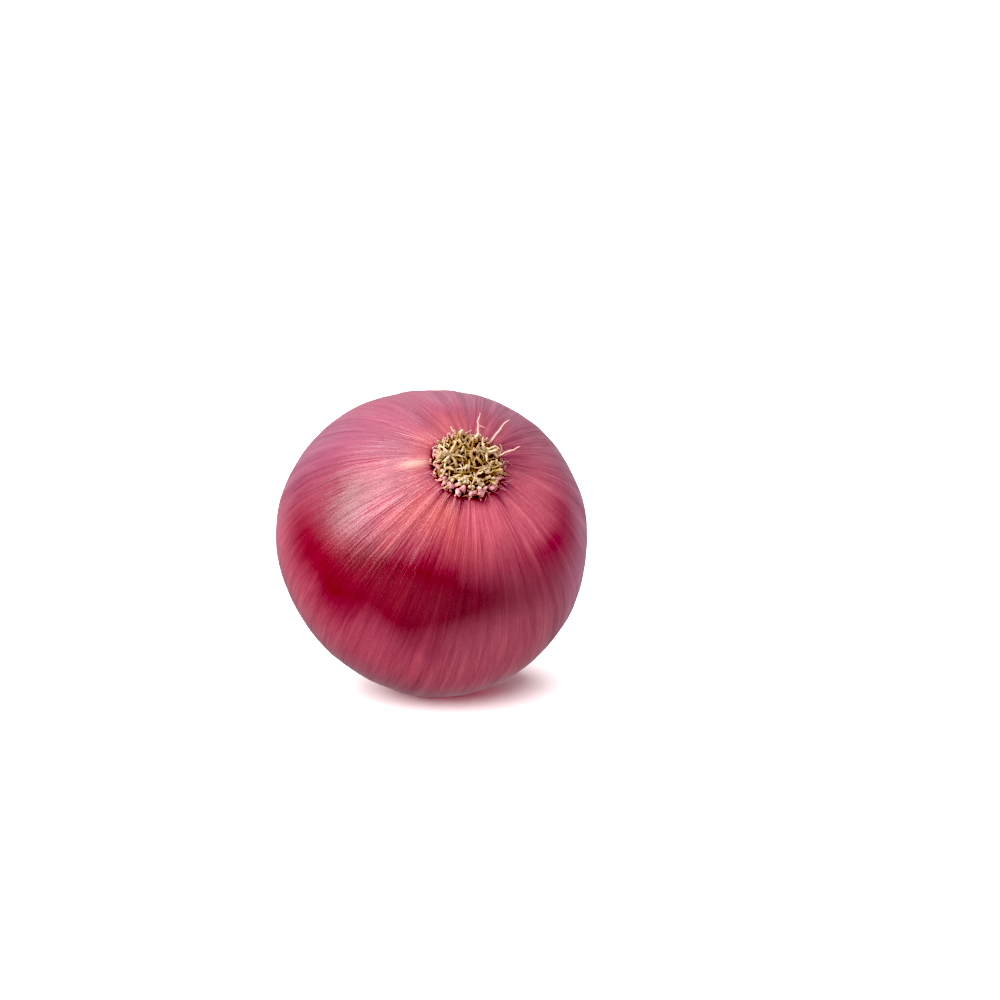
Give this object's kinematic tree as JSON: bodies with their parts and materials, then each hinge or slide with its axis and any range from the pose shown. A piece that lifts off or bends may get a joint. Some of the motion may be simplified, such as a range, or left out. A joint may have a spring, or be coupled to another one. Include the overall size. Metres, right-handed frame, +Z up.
{
  "type": "red onion",
  "caption": "Whole red onion lying on its side: round papery bulb, root plate with dry root stubs, and a short torn neck.",
  "frame": {"origin": "middle of the small flat spot that the bulb rests on", "axes": "+Z up from the table, -Y towards the side that the root end looks to, +X to the right when seen from that side; the onion's own axis lies in the YZ plane"},
  "size_m": [0.077, 0.079, 0.0745],
  "materials": {
    "skin": "dry crimson to magenta onion skin, satin gloss, fine lines from root to neck",
    "cork": "matt olive-brown cork of the root plate",
    "root": "dry straw-coloured roots, matt"
  },
  "bodies": {
    "root": {"bulb": "skin", "root_plate": "cork", "root_01": "root", "root_02": "root", "root_03": "root", "root_04": "root", "root_05": "root", "root_06": "root", "root_07": "root", "root_08": "root", "root_09": "root", "root_10": "root", "root_11": "root", "root_12": "root", "root_13": "root", "root_14": "root", "root_15": "root", "root_16": "root", "root_17": "root", "root_18": "root", "root_19": "root", "root_20": "root", "root_21": "root", "root_22": "root", "root_23": "root", "root_24": "root", "root_25": "root", "root_26": "root", "root_27": "root", "root_28": "root", "root_29": "root", "root_30": "root", "root_31": "root", "root_32": "root", "root_33": "root", "root_34": "root", "root_35": "root", "root_36": "root", "root_37": "root", "root_38": "root", "root_39": "root", "root_40": "root", "root_41": "root", "root_42": "root"}
  },
  "joints": []
}
